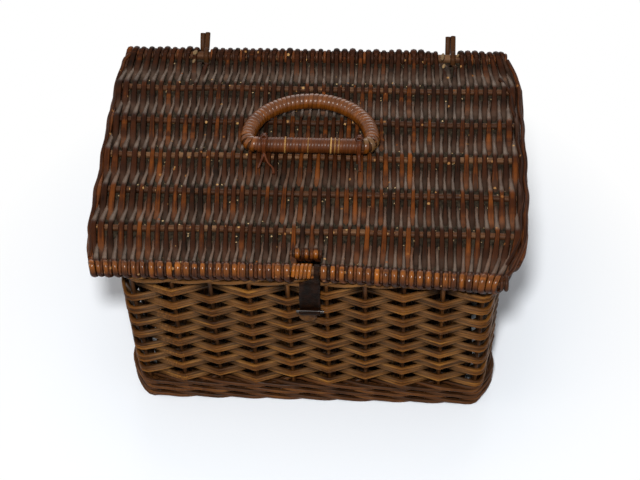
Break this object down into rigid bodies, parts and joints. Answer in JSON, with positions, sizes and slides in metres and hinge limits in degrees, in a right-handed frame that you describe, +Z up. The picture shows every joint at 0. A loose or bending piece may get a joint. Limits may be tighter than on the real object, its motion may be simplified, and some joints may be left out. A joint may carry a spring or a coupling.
{
  "type": "wicker picnic basket",
  "caption": "Rectangular picnic basket of woven willow with a hinged stick lid, a wrapped D-shaped handle lying on the lid, and a leather strap hasp at the front.",
  "frame": {"origin": "middle of the underside of the base, on the ground", "axes": "+X along the length to the right seen from the front, +Y to the back where the hinges are, +Z up"},
  "size_m": [0.3836, 0.3038, 0.2128],
  "materials": {
    "body_willow": "aged brown willow, worn and slightly dusty",
    "lid_willow": "dark red-brown stained willow, dusty",
    "stick_willow": "peeled willow stick, dull",
    "wrapping_cane": "varnished orange-brown cane",
    "strap_leather": "old black-brown leather, matt",
    "tab_leather": "brown leather, worn"
  },
  "bodies": {
    "basket": {"base_stick_1": "stick_willow", "base_stick_2": "stick_willow", "base_stick_3": "stick_willow", "base_stick_4": "stick_willow", "base_stick_5": "stick_willow", "base_weaver": "body_willow", "wale_rod_1": "body_willow", "wale_rod_2": "body_willow", "wale_rod_3": "body_willow", "wale_rod_4": "body_willow", "wale_rod_5": "body_willow", "wale_rod_6": "body_willow", "siding_course_01": "body_willow", "siding_course_02": "body_willow", "siding_course_03": "body_willow", "siding_course_04": "body_willow", "siding_course_05": "body_willow", "siding_course_06": "body_willow", "siding_course_07": "body_willow", "siding_course_08": "body_willow", "siding_course_09": "body_willow", "siding_course_10": "body_willow", "siding_course_11": "body_willow", "siding_course_12": "body_willow", "siding_course_13": "body_willow", "siding_course_14": "body_willow", "siding_course_15": "body_willow", "stakes_and_border_strand_1": "body_willow", "stakes_and_border_strand_2": "body_willow", "stakes_and_border_strand_3": "body_willow", "hinge_loop_left": "body_willow", "hinge_loop_right": "body_willow", "catch_tab": "tab_leather"},
    "lid": {"lid_stick_1": "stick_willow", "lid_stick_2": "stick_willow", "lid_stick_3": "stick_willow", "lid_stick_4": "stick_willow", "lid_stick_5": "stick_willow", "lid_stick_6": "stick_willow", "lid_stick_7": "stick_willow", "lid_weaver": "lid_willow", "slot_stick": "stick_willow", "slot_binding": "wrapping_cane", "handle_tie_left": "wrapping_cane", "handle_tie_right": "wrapping_cane"},
    "handle": {"handle_core": "stick_willow", "handle_bow_wrapping": "wrapping_cane", "handle_bar_wrapping": "wrapping_cane"},
    "hasp": {"hasp_strap": "strap_leather", "hasp_peg": "stick_willow"}
  },
  "joints": [
    {"name": "lid_hinge", "type": "hinge", "parent": "basket", "child": "lid", "pos_m": [0, 0.1335, 0.18849], "axis": [-1, 0, 0], "range_deg": [0, 100]},
    {"name": "handle_swing", "type": "hinge", "parent": "lid", "child": "handle", "pos_m": [0, 0.002, 0.20289], "axis": [1, 0, 0], "range_deg": [0, 180]},
    {"name": "hasp_swing", "type": "hinge", "parent": "lid", "child": "hasp", "pos_m": [0, -0.1335, 0.18849], "axis": [-1, 0, 0], "range_deg": [0, 120]}
  ]
}
